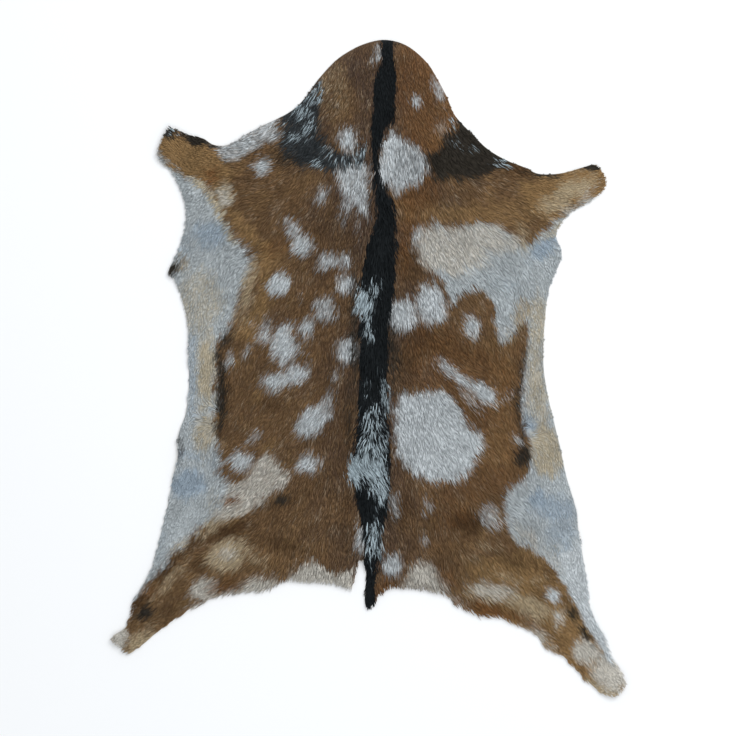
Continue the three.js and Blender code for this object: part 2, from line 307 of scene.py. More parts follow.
mat, mat_places = make_slab("mat_of_short_hair", skin_edge, 4.5, mat_heights)
lay_flat_uv(mat)
across, along = mat_places.T
print("mat:", len(mat.data.polygons), "faces")

# %% [markdown]
# Places on the coat
#
# The marks of the coat are listed, each with its middle, its size and its turn, in pixels
# of the photograph, whose scale is known: one pixel is 1.4438 mm. Pixels run down from the top
# left corner. What one sees at a place are the ends of the locks that grow a little further up
# the coat. So the marks are looked up nearly half a lock ahead of the root, or each would slide.

# %% From the model to the photograph
PIXEL = 1.4438


def photo_place(x, y):
    return x / PIXEL + 367.5, 368 - y / PIXEL


def ragged(x, y, size, seed):
    """Gentle noise from about -1 to 1, with bumps of that size."""
    return np.array([
        1.6 * noise.noise(Vector((a / size, b / size, seed))) for a, b in zip(x, y)
    ])


def smooth(value):
    value = np.clip(value, 0, 1)
    return value * value * (3 - 2 * value)


photo_x, photo_y = photo_place(across, along)

# %% [markdown]
# Which way the hair lies
#
# Hair on a hide lies from the neck to the tail, leans out to both sides, runs along each leg to
# its tip, and turns in a whorl on each flank. The table is a comb: at each place it gives the
# direction in degrees, 0 for straight down to the tail and positive for a lean to the right.
# Between the places the directions are blended by distance.

# %% Comb the hair
COMB = [
    (380, 45, 2), (345, 70, -12), (322, 100, -28), (415, 70, 10), (440, 105, 24),
    (350, 130, -12), (410, 135, 14), (302, 112, -40), (450, 130, 30), (385, 160, 2),
    (355, 185, -14), (408, 190, 14), (300, 150, -52), (260, 160, -72), (225, 165, -88),
    (185, 158, -110), (168, 143, -120), (235, 200, -58), (215, 195, -50), (190, 210, -30),
    (200, 250, -30), (465, 150, 48), (500, 170, 64), (540, 190, 84), (580, 180, 104),
    (598, 168, 110), (500, 210, 58), (550, 215, 55), (545, 250, 22), (450, 210, 34),
    (345, 240, -16), (300, 230, -32), (255, 250, -50), (410, 250, 14), (450, 260, 30),
    (500, 260, 42), (345, 300, -14), (300, 300, -26), (255, 310, -34), (200, 300, -22),
    (410, 310, 12), (450, 320, 26), (500, 320, 28), (538, 310, 14), (340, 370, -12),
    (295, 370, -34), (245, 370, -26), (195, 370, -6), (405, 370, 12), (460, 380, 46),
    (500, 390, 30), (540, 370, 6), (340, 430, -12), (300, 430, -32), (250, 435, -40),
    (190, 450, -14), (410, 440, 14), (450, 440, 30), (500, 440, 34), (550, 460, 10),
    (335, 500, -10), (290, 500, -26), (245, 490, -48), (190, 510, -20), (410, 500, 14),
    (455, 500, 28), (500, 500, 44), (555, 530, 14), (340, 560, -6), (295, 560, -18),
    (245, 560, -48), (200, 560, -58), (160, 570, -26), (150, 600, -50), (128, 632, -55),
    (410, 560, 10), (450, 570, 26), (495, 580, 44), (540, 600, 48), (575, 640, 42),
    (605, 675, 40), (590, 600, 22), (378, 250, 0), (375, 350, 0), (372, 450, 0), (371, 590, 0),
]
WHORLS = [(209, 414, 15, -1), (530, 429, 15, 1)]
PARTINGS = [
    # x, y, reach, degrees: small places where the hair turns quickly
    (364, 425, 9, -34), (362, 442, 9, -28), (384, 425, 9, 26), (384, 445, 9, 12),
    (354, 462, 10, 30), (364, 472, 11, 48), (376, 482, 10, 36), (383, 497, 8, 12),
]


COMB_REACH = 26.0
STRAY_TUFTS = [(13, 24, 3.1), (9, 7, 8.7)]  # degrees, size in pixels, seed


def nearness(px, py, x, y, reach):
    """1 at the place and falling to nothing around it."""
    return np.exp(-(((px - x) ** 2 + (py - y) ** 2) / reach**2))


def comb_at(px, py):
    """Direction of the hair as two arrays: to the right and towards the neck."""
    right, up = np.zeros(px.shape), np.zeros(px.shape)
    for x, y, degrees in COMB:
        pull = nearness(px, py, x, y, COMB_REACH) + 1e-9
        right += pull * math.sin(math.radians(degrees))
        up -= pull * math.cos(math.radians(degrees))
    for x, y, reach, turn in WHORLS:
        near = nearness(px, py, x, y, reach)
        size = np.hypot(right, up) + 1e-9
        away = np.hypot(px - x, py - y) + 1e-6
        right = (1 - near) * right / size + near * turn * (py - y) / away
        up = (1 - near) * up / size + near * turn * (px - x) / away
    for x, y, reach, degrees in PARTINGS:
        near = nearness(px, py, x, y, reach)
        size = np.hypot(right, up) + 1e-9
        right = (1 - near) * right / size + near * math.sin(math.radians(degrees))
        up = (1 - near) * up / size - near * math.cos(math.radians(degrees))
    angle = np.arctan2(right, -up)
    angle += sum(math.radians(turn) * ragged(px, py, size, seed) for turn, size, seed in STRAY_TUFTS)
    return np.sin(angle), -np.cos(angle)


lay_right, lay_up = comb_at(photo_x, photo_y)

# %% [markdown]
# How long the hair is
#
# It is short on the neck, the legs and above all the thin flanks, and long over the rump and
# along the back. At the rim a lock may reach past the edge only a little, or the outline that one
# sees would grow.

# %% Set the length of the hair
BODY_LENGTH = 17
SHORTEST = 3.5
LENGTHS = [
    # x, y, reach across, reach down, length in millimetres
    (380, 60, 60, 36, 12), (380, 110, 62, 36, 14), (185, 160, 36, 30, 10),
    (582, 182, 40, 30, 10), (203, 330, 26, 170, 9), (543, 340, 24, 160, 9),
    (180, 500, 30, 70, 8), (562, 530, 30, 80, 8), (175, 600, 60, 34, 13),
    (565, 635, 50, 44, 13), (126, 636, 20, 20, 8), (610, 684, 20, 20, 8),
    (270, 560, 70, 30, 20), (440, 565, 60, 30, 20), (404, 170, 26, 34, 23),
    (371, 592, 14, 26, 9),
]
length = np.full(across.shape, float(BODY_LENGTH))
for x, y, reach_x, reach_y, hair in LENGTHS:
    away = np.hypot((photo_x - x) / reach_x, (photo_y - y) / reach_y)
    length += (hair - length) * np.exp(-(away**3))
outline = seen_rim[:, :2]
to_rim = inside_by(across, along, outline)
rim_x, rim_y = way_out(across, along, outline)
leaning_out = np.clip(lay_right * rim_x + lay_up * rim_y, 0.25, 1)
overhang = 1.2 + 1.5 * smooth((photo_y - 520) / 60)
length_allowed = (np.maximum(to_rim, 0) + overhang) / leaning_out
length = np.minimum(length, np.maximum(length_allowed, SHORTEST))
print("hair from", round(length.min(), 1), "to", round(length.max(), 1), "mm")

# %% [markdown]
# The marks of the coat
#
# Spots are turned ellipses. Fields are outlines. The black line down the back is a table of its
# left and right side. All get a ragged edge from noise that is drawn out along the hair, and the
# locks break that edge up again, as hair does. Umber and frost have no places of their own: umber
# deepens the brown beside the back, and frost is the pale tips that are strewn all over.

# %% Spots, fields and the line down the back
SPOTS = {
    # x, y, half width, half height, turn in degrees (clockwise), strength
    "tan": [
        (180, 270, 8, 9, 0, 0.9), (545, 186, 30, 14, -15, 0.6),
    ],
    "russet": [
        (211, 176, 9, 9, 0, 0.7), (410, 80, 18, 34, 0, 0.5), (223, 587, 14, 7, -20, 0.6),
        (233, 584, 12, 8, -20, 0.6), (448, 580, 8, 14, -30, 0.5), (490, 611, 32, 6, 14, 0.9),
        (526, 622, 14, 5, 30, 0.5), (232, 501, 7, 5, 0, 0.8), (274, 250, 14, 10, 0, 0.4),
        (383, 588, 9, 12, 20, 0.6), (505, 380, 9, 24, 0, 0.5), (430, 75, 16, 20, 0, 0.4),
        (425, 125, 14, 22, 0, 0.5), (150, 590, 6, 10, 40, 0.5), (330, 350, 8, 8, 0, 0.2),
    ],
    "brown dark": [
        (142, 604, 14, 9, -45, 0.8), (166, 571, 20, 7, -50, 0.85), (541, 600, 6, 10, 0, 0.7),
        (185, 547, 22, 7, -38, 0.85), (226, 530, 24, 8, -15, 0.85), (170, 611, 20, 6, -45, 0.6),
        (198, 565, 7, 6, 0, 0.7), (275, 544, 24, 7, 5, 0.75), (290, 500, 22, 10, -30, 0.5),
        (404, 508, 14, 18, 0, 0.6), (468, 524, 18, 13, 10, 0.9), (438, 522, 15, 12, 0, 0.5),
        (518, 561, 26, 7, 8, 0.6), (551, 575, 8, 14, -35, 0.6), (564, 597, 6, 14, -20, 0.6),
        (490, 609, 24, 4, 15, 0.6), (557, 640, 16, 5, 40, 0.5), (524, 455, 10, 12, 0, 0.7),
        (217, 429, 9, 10, 0, 0.8), (223, 390, 9, 22, 0, 0.8), (262, 405, 20, 10, 0, 0.4),
        (480, 420, 16, 12, 40, 0.4), (436, 345, 26, 14, 0, 0.6), (455, 412, 20, 6, 30, 0.3),
        (320, 230, 14, 16, 0, 0.4), (410, 268, 14, 22, 0, 0.55), (345, 440, 12, 60, 0, 0.4),
        (348, 505, 8, 50, 0, 0.5), (521, 318, 5, 24, 8, 0.35), (430, 200, 20, 10, 0, 0.4),
        (285, 150, 12, 12, 0, 0.5), (515, 165, 24, 9, 20, 0.8), (340, 176, 30, 6, 5, 0.4),
    ],
    "blue": [
        # the thin mark at (188, 457) is painted shade in a crease of the left flank
        (210, 236, 18, 14, 10, 0.75), (187, 486, 17, 15, 10, 1), (188, 457, 18, 4, 0, 0.7),
        (193, 375, 4, 34, 0, 0.8), (543, 250, 15, 8, -35, 1), (538, 501, 9, 10, 0, 1.0),
        (553, 508, 26, 14, 15, 0.7), (561, 536, 16, 24, 0, 0.55), (545, 376, 3, 18, -5, 0.8),
        (529, 427, 6, 9, 0, 0.9), (160, 545, 7, 18, 20, 0.3), (185, 250, 8, 14, 0, 0.4),
        (505, 285, 20, 12, 0, 0.25), (212, 458, 5, 20, 0, 0.4),
    ],
    "beige": [
        (212, 305, 14, 20, 30, 0.35), (526, 246, 8, 10, -30, 0.5), (205, 372, 12, 42, 2, 0.85),
        (204, 434, 12, 24, 0, 0.7), (539, 385, 13, 54, -4, 0.65), (546, 450, 16, 30, -8, 0.8),
        (540, 330, 12, 34, 0, 0.65), (198, 304, 24, 34, 0, 0.5), (557, 545, 5, 8, -20, 0.7),
        (212, 500, 9, 16, 20, 0.3),
    ],
    "fawn": [
        (228, 556, 22, 15, -20, 1.0), (258, 560, 12, 7, 10, 0.5), (224, 195, 8, 12, -15, 1.0),
        (181, 266, 8, 9, 0, 0.6), (247, 292, 9, 34, 15, 0.65), (522, 312, 7, 16, 15, 0.7),
        (168, 582, 24, 4, -50, 0.7), (534, 610, 18, 13, 20, 0.85), (558, 618, 10, 14, 0, 0.5),
        (502, 575, 18, 5, 20, 0.5), (487, 595, 20, 9, 5, 0.75), (516, 601, 14, 10, 30, 0.75),
        (471, 559, 14, 6, 10, 0.3), (492, 547, 14, 6, 10, 0.4), (540, 580, 8, 4, -20, 0.6),
        (166, 582, 18, 3, -55, 0.5), (139, 645, 18, 12, -35, 0.8), (155, 626, 8, 4, -40, 0.6),
        (602, 692, 24, 10, 20, 0.9), (244, 558, 8, 6, 0, 0.4), (335, 88, 16, 26, 0, 0.3),
        (323, 88, 6, 14, 20, 0.45), (520, 236, 10, 14, 20, 0.45), (440, 108, 7, 12, -20, 0.35),
        (583, 175, 26, 14, -20, 0.3), (566, 196, 30, 11, -35, 0.85), (216, 524, 26, 7, -28, 0.8),
        (180, 545, 14, 5, -40, 0.5), (527, 545, 12, 5, 30, 0.5), (508, 335, 10, 10, 0, 0.4),
        (560, 606, 6, 8, 0, 0.3),
    ],
    "cream": [
        (203, 590, 15, 12, -25, 1.0), (258, 587, 26, 11, -8, 0.95), (423, 575, 15, 14, 0, 1.0),
        (430, 585, 24, 10, 12, 0.9), (492, 591, 26, 10, 8, 0.75), (228, 555, 15, 9, -20, 0.6),
        (412, 582, 12, 9, -30, 0.8), (447, 597, 8, 5, 20, 0.7), (531, 630, 13, 6, 35, 0.6),
        (588, 653, 18, 14, 40, 1.0), (611, 673, 23, 18, 45, 0.95), (612, 688, 14, 8, 0, 0.6),
        (530, 538, 24, 7, 42, 0.7), (556, 563, 18, 5, 50, 0.6), (541, 638, 16, 8, 38, 0.8),
        (117, 638, 12, 12, 0, 0.95), (296, 564, 6, 6, 0, 0.4), (132, 618, 3, 7, 30, 0.5),
        (441, 127, 8, 10, 20, 0.5), (577, 204, 28, 5, -38, 0.75), (224, 197, 7, 13, -15, 0.85),
        (262, 465, 6, 12, 30, 0.5), (258, 488, 26, 12, -35, 0.5), (226, 600, 38, 11, -14, 0.85),
        (456, 603, 17, 8, 20, 0.6), (548, 648, 26, 5, 38, 0.5), (450, 250, 40, 26, 10, 0.8),
        (482, 240, 38, 17, 0, 0.8),
    ],
    "white": [
        (377, 56, 5, 12, 10, 0.8), (394, 504, 7, 13, 0, 0.8), (360, 537, 5, 16, 0, 1.0),
        (416, 102, 6, 7, 0, 0.8), (438, 91, 6, 14, -22, 0.8), (348, 141, 11, 14, 0, 0.85),
        (335, 107, 4, 5, 0, 0.4), (261, 166, 10, 11, 0, 0.95), (321, 198, 8, 12, 15, 0.8),
        (291, 229, 8, 14, -30, 0.75), (302, 246, 12, 15, -10, 0.85), (327, 264, 11, 9, 0, 0.65),
        (344, 263, 8, 11, 0, 0.8), (346, 284, 10, 12, 0, 0.78), (278, 285, 12, 12, 0, 1.1),
        (334, 261, 18, 9, 10, 0.75), (299, 298, 4, 7, 0, 0.4), (324, 310, 15, 15, 20, 0.6),
        (306, 329, 10, 12, 25, 0.8), (264, 335, 10, 15, 10, 0.65), (267, 321, 6, 8, 30, 0.35),
        (283, 345, 15, 22, 5, 0.9), (296, 353, 5, 8, 20, 0.4), (246, 351, 5, 9, 35, 0.6),
        (228, 364, 7, 12, 5, 0.75), (273, 382, 14, 11, 0, 0.95), (298, 374, 13, 12, -20, 0.85),
        (287, 380, 11, 9, 0, 0.85), (309, 361, 4, 9, 10, 0.45), (312, 422, 23, 15, -40, 0.88),
        (326, 405, 18, 8, -60, 0.55), (254, 438, 10, 9, -40, 0.55), (348, 352, 14, 15, 0, 0.85),
        (509, 396, 5, 7, 20, 0.4), (240, 462, 15, 13, 0, 0.85), (308, 464, 15, 11, 0, 0.8),
        (335, 378, 7, 12, 10, 0.35), (402, 316, 17, 18, 0, 0.88), (431, 304, 17, 24, -12, 0.9),
        (471, 327, 10, 14, -15, 0.9), (504, 330, 8, 14, 0, 0.6), (463, 380, 35, 7.5, 36, 0.8),
        (485, 393, 18, 11, 35, 1.0), (471, 401, 16, 5.5, 48, 0.65), (518, 440, 10, 7, 35, 0.75),
        (428, 507, 6, 8, 0, 0.55), (423, 540, 5, 7, 0, 0.55), (490, 516, 13, 16, -30, 0.55),
        (392, 566, 12, 13, 0, 0.85), (554, 595, 9, 11, -20, 0.95), (559, 619, 7, 12, 0, 0.65),
        (390, 410, 4, 14, 0, 0.4), (394, 440, 6, 18, 0, 0.4), (372, 176, 4, 24, 0, 0.4),
        (347, 204, 9, 22, 15, 0.55), (358, 232, 5, 14, 0, 0.4), (252, 320, 5, 8, 30, 0.35),
        (300, 350, 6, 9, 20, 0.4),
    ],
    "slate": [
        (270, 495, 9, 4, -45, 0.6), (263, 505, 8, 3, -45, 0.6), (412, 160, 20, 24, -20, 0.3),
        (208, 412, 3, 4, 0, 0.7), (531, 433, 2.5, 4, 0, 0.6),
    ],
    "charcoal": [
        (145, 612, 10, 6, -20, 1.0), (286, 160, 22, 9, 25, 0.45), (178, 264, 8, 9, 0, 0.4),
        (394, 358, 8, 42, 0, 0.6), (218, 430, 7, 11, 0, 0.5), (355, 335, 6, 62, 0, 0.75),
        (391, 500, 6, 60, 0, 0.3), (350, 412, 7, 42, 0, 0.45), (170, 270, 6, 7, 0, 1.2),
        (574, 617, 5, 10, -10, 0.8), (588, 636, 9, 4, 50, 0.95), (168, 132, 8, 7, 0, 1.1),
        (194, 138, 19, 6, 18, 1.2), (591, 166, 10, 4, -8, 1.2), (546, 174, 20, 4, 0, 0.9),
        (390, 41, 28, 4, 8, 0.9), (281, 500, 9, 5, -30, 0.8), (367, 606, 5, 10, 0, 1),
        (523, 457, 9, 11, 0, 0.8), (229, 338, 4, 8, 25, 0.7), (180, 450, 3, 12, 0, 0.6),
    ],
    "grizzle": [
        (364, 303, 8, 14, 0, 0.85), (375, 289, 5, 11, 0, 0.65), (369, 327, 3, 9, 0, 0.7),
        (373, 428, 11, 24, 0, 0.52), (375, 446, 14, 16, 0, 0.52), (357, 472, 10, 16, 0, 0.9),
        (370, 468, 18, 14, 20, 0.75), (380, 486, 9, 17, -12, 0.7), (374, 541, 7, 20, 0, 0.6),
        (302, 113, 9, 7, -30, 0.65), (308, 126, 7, 10, 20, 0.5), (292, 137, 10, 6, 20, 0.5),
        (326, 150, 8, 6, 0, 0.25), (284, 124, 6, 6, 0, 0.25), (350, 160, 14, 6, 0, 0.4),
        (314, 96, 7, 14, 30, 0.5), (317, 165, 6, 5, 0, 0.5), (502, 164, 9, 5, 20, 0.4),
        (458, 145, 9, 6, 30, 0.22), (474, 150, 5, 4, 0, 0.3), (452, 122, 5, 8, 30, 0.4),
        # the small mark at (176, 133) is a painted highlight on the black of the left foreleg
        (385, 398, 5, 16, 0, 0.5), (360, 150, 8, 12, 0, 0.4), (176, 133, 7, 3, 15, 0.4),
        (366, 388, 5, 14, 0, 0.2), (340, 160, 12, 6, 20, 0.4),
    ],
}
SPOT_EDGE = {
    # how many pixels wide the edge of a spot is
    "tan": 14, "russet": 16, "brown dark": 16, "blue": 16, "beige": 16, "fawn": 14, "cream": 14,
    "white": 13, "slate": 8, "charcoal": 10, "grizzle": 10,
}
SPREAD = {"white": 1.9, "cream": 1.4, "slate": 1.5}
FIELDS = {
    # softness of the edge in pixels, strength, then the corners
    "tan": [
        (14, 0.9, [(150, 125), (205, 140), (236, 168), (220, 200), (190, 185), (150, 170)]),
        (14, 1, [(520, 185), (560, 168), (615, 155), (615, 200), (560, 225), (530, 215)]),
        (22, 0.3, [(100, 660), (150, 575), (215, 535), (300, 540), (300, 600), (150, 660)]),
        (22, 0.85, [(470, 560), (540, 545), (640, 670), (620, 710), (540, 650), (460, 610)]),
        (12, 0.85, [(204, 182), (236, 235), (258, 250), (258, 292), (234, 338), (256, 340), (274, 292),
            (272, 246), (244, 222), (216, 182)]),
        (20, 0.3, [(312, 85), (330, 62), (352, 60), (356, 120), (330, 130), (312, 108)]),
        (18, 0.6, [(395, 205), (520, 200), (530, 180), (560, 200), (520, 232), (400, 222)]),
        (16, 0.45, [(478, 340), (515, 330), (515, 470), (470, 470), (500, 400)]),
    ],
    "russet": [
        (30, 0.5, [(396, 30), (440, 40), (470, 120), (440, 190), (430, 215), (396, 290)]),
        (30, 0.35, [(396, 290), (440, 320), (490, 345), (522, 345), (525, 480), (440, 545)]),
    ],
    "brown dark": [
        (26, 0.55, [(396, 328), (440, 322), (500, 350), (505, 372), (440, 362), (396, 396)]),
        (26, 0.3, [(322, 215), (362, 215), (350, 470), (300, 520), (322, 400), (300, 300)]),
    ],
    "pale": [
        (15, 1.1, [(130, 146), (158, 153), (170, 166), (184, 175), (200, 182), (209, 194), (219, 208),
            (223, 222), (228, 234), (234, 243), (246, 247), (251, 256), (248, 272), (243, 288),
            (238, 303), (232, 318), (226, 331), (219, 341), (216, 350), (216, 412), (211, 420),
            (211, 438), (219, 448), (220, 456), (218, 472), (227, 482), (238, 492), (232, 508),
            (214, 521), (200, 531), (184, 541), (173, 552), (164, 564), (155, 576), (144, 588),
            (130, 602), (90, 600), (90, 150)]),
        (9, 1.1, [(640, 193), (604, 196), (582, 204), (561, 218), (548, 228), (537, 240), (529, 246),
            (521, 247), (516, 239), (511, 232), (500, 229), (492, 224), (468, 225), (461, 231),
            (452, 232), (443, 226), (434, 221), (433, 232), (418, 229), (412, 234), (412, 244),
            (421, 250), (428, 261), (437, 274), (444, 286), (448, 296), (452, 304), (457, 299),
            (463, 293), (472, 289), (482, 289), (490, 298), (496, 308), (496, 326), (501, 341),
            (509, 341), (515, 330), (522, 320), (528, 324), (528, 345), (522, 390), (520, 404),
            (523, 424), (528, 438), (533, 452), (527, 478), (508, 491), (504, 502), (506, 521),
            (510, 534), (520, 545), (536, 553), (546, 560), (556, 571), (567, 587), (576, 604),
            (586, 622), (597, 640), (604, 658), (612, 672), (640, 690)]),
    ],
    "beige": [
        (6, 1.0, [(184, 174), (200, 181), (212, 195), (222, 209), (226, 222), (232, 236), (236, 246),
            (228, 240), (219, 222), (214, 210), (204, 194), (192, 184)]),
        (7, 0.9, [(534, 246), (548, 233), (562, 222), (588, 204), (596, 206), (570, 224), (545, 243)]),
    ],
    "cream": [
        (10, 0.78, [(226, 484), (240, 480), (250, 466), (261, 452), (269, 450), (276, 458), (284, 468),
            (291, 473), (291, 484), (282, 492), (272, 497), (262, 507), (250, 513), (236, 519),
            (220, 524), (210, 516), (222, 500)]),
        (7, 1.0, [(286, 576), (296, 570), (304, 562), (320, 562), (331, 572), (341, 571), (354, 568),
            (356, 592), (286, 592)]),
    ],
    "white": [
        (14, 1.1, [(396, 398), (404, 392), (448, 391), (457, 400), (464, 411), (469, 422), (480, 435),
            (485, 448), (483, 457), (474, 471), (461, 482), (448, 486), (434, 483), (416, 478),
            (404, 468), (394, 452), (393, 430)]),
        (9, 1.05, [(556, 556), (564, 576), (577, 610), (590, 638), (606, 662), (632, 672), (610, 610),
            (590, 540)]),
        (9, 0.85, [(391, 126), (399, 134), (412, 143), (423, 151), (431, 162), (430, 173), (421, 183),
            (408, 189), (396, 196), (388, 190), (377, 180), (375, 165), (378, 150), (384, 138)]),
        (12, 0.75, [(366, 162), (369, 170), (371, 190), (370, 218), (362, 218), (350, 206), (338, 190),
            (332, 168), (344, 160), (354, 158)]),
        (9, 0.72, [(205, 138), (222, 140), (238, 134), (250, 122), (262, 114), (275, 112), (281, 134),
            (277, 144), (260, 147), (248, 157), (234, 162), (222, 166), (219, 157), (208, 148)]),
    ],
    "slate": [
        (14, 0.95, [(276, 120), (286, 108), (299, 100), (310, 86), (321, 80), (322, 100), (320, 118),
            (322, 134), (332, 148), (352, 152), (366, 146), (371, 160), (360, 167), (345, 171),
            (330, 174), (312, 174), (294, 167), (283, 158), (276, 148), (280, 136)]),
    ],
    "charcoal": [
        (15, 1.1, [(456, 96), (458, 124), (450, 138), (440, 148), (427, 158), (431, 173), (437, 182),
            (458, 181), (478, 181), (492, 172), (502, 166), (512, 160), (524, 150), (500, 110)]),
        (12, 0.65, [(526, 342), (530, 346), (528, 360), (523, 386), (521, 402), (523, 418), (528, 434),
            (534, 448), (528, 454), (520, 440), (515, 420), (514, 400), (518, 372)]),
        (10, 0.75, [(224, 332), (230, 335), (226, 345), (224, 356), (227, 372), (229, 392), (227, 412),
            (224, 436), (216, 438), (217, 416), (215, 390), (214, 352), (219, 342)]),
    ],
}
LINE_OF_BACK = [
    # y, then the left and right side of the black line
    (30, 380, 394), (58, 382, 393), (70, 379, 396), (81, 374, 396), (112, 373, 395),
    (121, 371, 393), (135, 370, 384), (150, 372, 379), (165, 374, 379), (181, 374, 381),
    (193, 375, 389), (204, 377, 393), (219, 377, 395), (234, 372, 395), (250, 366, 395),
    (277, 361, 395), (300, 360, 393), (322, 361, 389), (338, 361, 388), (384, 359, 387),
    (400, 359, 386), (430, 357, 388), (450, 354, 389), (470, 350, 390), (488, 353, 390),
    (505, 357, 388), (521, 361, 384), (545, 366, 379), (569, 365, 377), (590, 364, 375),
    (620, 364, 376),
]


LOOK_AHEAD = 0.47  # how far ahead of its root a lock reads its marks, as a share of its length
MIDDLE, NEAR_BACK = 375, 70  # pixels: the line of the back, and how far its darker brown reaches
RIDGE_REACH, RIDGE_FROM, RIDGE_TO = 17, 120, 575  # pixels: where the long hair of the back grows


# %% Measure from the line and along the hair
def sides_of_line(py):
    """The left and the right side of the black line at each height of the photograph."""
    rows = np.array(LINE_OF_BACK, float)
    return np.interp(py, rows[:, 0], rows[:, 1]), np.interp(py, rows[:, 0], rows[:, 2])


def beside_line(px, py):
    """How many pixels a place lies to the right of the middle of the black line."""
    middle = [(y, (left + right) / 2) for y, left, right in LINE_OF_BACK]
    return px - np.interp(py, *np.array(middle).T)


def streaks(px, py, right, up, width, seed):
    """Noise that is drawn out along the lie of the hair, as dark and light strands are."""
    steps = (-10, -7, -3, 0, 3, 7, 10)
    total = sum(ragged(px + k * right, py - k * up, width, seed) for k in steps)
    return total * 2.0 / len(steps)


# %% Weigh the marks at any place
SPOT_RAGGED = 0.33  # how far the wobble shifts a spot's edge, as a share of its softness
FIELD_RAGGED = 0.38
LINE_RAGGED = 1.4  # the same for the black line, in pixels
LINE_SOFTNESS = 5


def marks_at(px, py, right, up):
    """The strength of each kind of mark at these places of the photograph."""
    strands = streaks(px, py, right, up, 3.2, 5.9)
    wobble = 0.6 * ragged(px, py, 9, 1.3) + 0.8 * strands
    marks = {kind: np.zeros(px.shape) for kind in (*SPOTS, *FIELDS)}

    def lay_on(kind, strength, from_edge, softness, raggedness):
        value = strength * smooth(0.5 + (from_edge + raggedness * softness * wobble) / softness)
        marks[kind] = np.maximum(marks[kind], value)

    for kind, rows in SPOTS.items():
        softness = SPOT_EDGE[kind]
        for x, y, half_x, half_y, turn, strength in rows:
            cos, sin = math.cos(math.radians(turn)), math.sin(math.radians(turn))
            u = (cos * (px - x) + sin * (py - y)) / half_x
            v = (cos * (py - y) - sin * (px - x)) / half_y
            from_edge = (1 - np.hypot(u, v)) * min(half_x, half_y) - SPREAD.get(kind, 0)
            lay_on(kind, strength, from_edge, softness, SPOT_RAGGED)
    for kind, rows in FIELDS.items():
        for softness, strength, corners in rows:
            from_edge = inside_by(px, py, np.array(corners, float)) - SPREAD.get(kind, 0)
            lay_on(kind, strength, from_edge, softness, FIELD_RAGGED)
    left_side, right_side = sides_of_line(py)
    from_edge = np.minimum(px - left_side, right_side - px) + LINE_RAGGED * wobble
    marks["black"] = 1.2 * smooth(0.5 + from_edge / LINE_SOFTNESS)
    for kind in ("white", "cream", "fawn", "charcoal", "slate"):
        marks[kind] = np.clip(marks[kind] - 0.25 * np.maximum(strands - 0.1, 0), 0, 2)
    near_back = np.exp(-(((px - MIDDLE) / NEAR_BACK) ** 2))
    marks["umber"] = np.clip(0.6 * near_back + 0.3 * ragged(px, py, 26, 2.2), 0, 1)
    ochre = (1 - near_back) * (0.3 * ragged(px, py, 19, 7.7) + 0.25 * ragged(px, py, 8, 4.4))
    marks["tan"] = np.maximum(marks["tan"], np.clip(ochre + 0.1, 0, 1))
    frost = 0.12 + 0.2 * ragged(px, py, 15, 9.1) + 0.26 * strands
    marks["frost"] = np.clip(frost, 0, 0.55)
    return marks


# %% Mark the coat
seen_x, seen_y = photo_place(
    across + lay_right * LOOK_AHEAD * length,
    along + lay_up * LOOK_AHEAD * length,
)
marks = marks_at(seen_x, seen_y, lay_right, lay_up)
tone = 1 + 0.1 * streaks(seen_x, seen_y, lay_right, lay_up, 3.2, 3.3)
# painted light: the lower right, over the right hind leg, is lightened where more light falls
tone += 0.1 * smooth((seen_x - 530) / 40) * smooth((seen_y - 530) / 40) - 0.02
tone += 0.08 * ragged(seen_x, seen_y, 12, 6.6) + 0.05 * ragged(seen_x, seen_y, 34, 4.7)
ridge = smooth(1 - np.abs(beside_line(photo_x, photo_y)) / RIDGE_REACH)
ridge = ridge * smooth((photo_y - RIDGE_FROM) / 40) * smooth((RIDGE_TO - photo_y) / 25)
for kind, value in marks.items():
    print(kind, "covers", round(float(np.mean(value > 0.5)) * 100, 1), "% of the coat")


# %% Write it all on the mat
def note_on_mat(name, values):
    """Stores numbers on the mat's top points. The points below get nothing, so no hair grows."""
    mesh = mat.data
    values = np.asarray(values, np.float32)
    if values.ndim == 1:
        layer = mesh.attributes.new(name, "FLOAT", "POINT")
        layer.data.foreach_set("value", np.concatenate([values, np.zeros_like(values)]))
    else:
        layer = mesh.attributes.new(name, "FLOAT_VECTOR", "POINT")
        layer.data.foreach_set("vector", np.concatenate([values, values]).ravel())


THINNING = 0.45  # hair grows thinner where the skin glimmers through, and there are fewer locks
bare = np.maximum(marks["blue"], 0.6 * marks["beige"])
note_on_mat("lay", np.column_stack([lay_right, lay_up, np.zeros_like(lay_up)]))
note_on_mat("hair_length", length * MM)
note_on_mat("grows", 1 - THINNING * bare)
note_on_mat("ridge", ridge)
note_on_mat("tone", tone)
for kind, value in marks.items():
    note_on_mat(kind.replace(" ", "_"), value)

# %% [markdown]
# The finish of the coat
#
# Shader maths is easier to read as ordinary sums, so a small class wraps a socket and turns
# + - and * into Math nodes. Colours are mixed by Mix nodes. A bench is a node tree with one method
# that makes any node, and one that ends a finish: all three finishes here end in the same way.


# %% A bench for materials
class Signal:
    """A socket that can be reckoned with."""

    def __init__(self, bench, socket):
        self.bench, self.socket = bench, socket

    def maths(self, operation, *values):
        node = self.bench.node("ShaderNodeMath", {"operation": operation}, dict(enumerate(values)))
        return Signal(self.bench, node.outputs[0])

    def __add__(self, other):
        return self.maths("ADD", self, other)

    def __sub__(self, other):
        return self.maths("SUBTRACT", self, other)

    def __rsub__(self, other):
        return self.maths("SUBTRACT", other, self)

    def __mul__(self, other):
        return self.maths("MULTIPLY", self, other)

    __radd__ = __add__

    def fract(self):
        return self.maths("FRACT", self)

    def clamped(self):
        node = self.bench.node("ShaderNodeClamp", {}, {"Value": self})
        return Signal(self.bench, node.outputs[0])


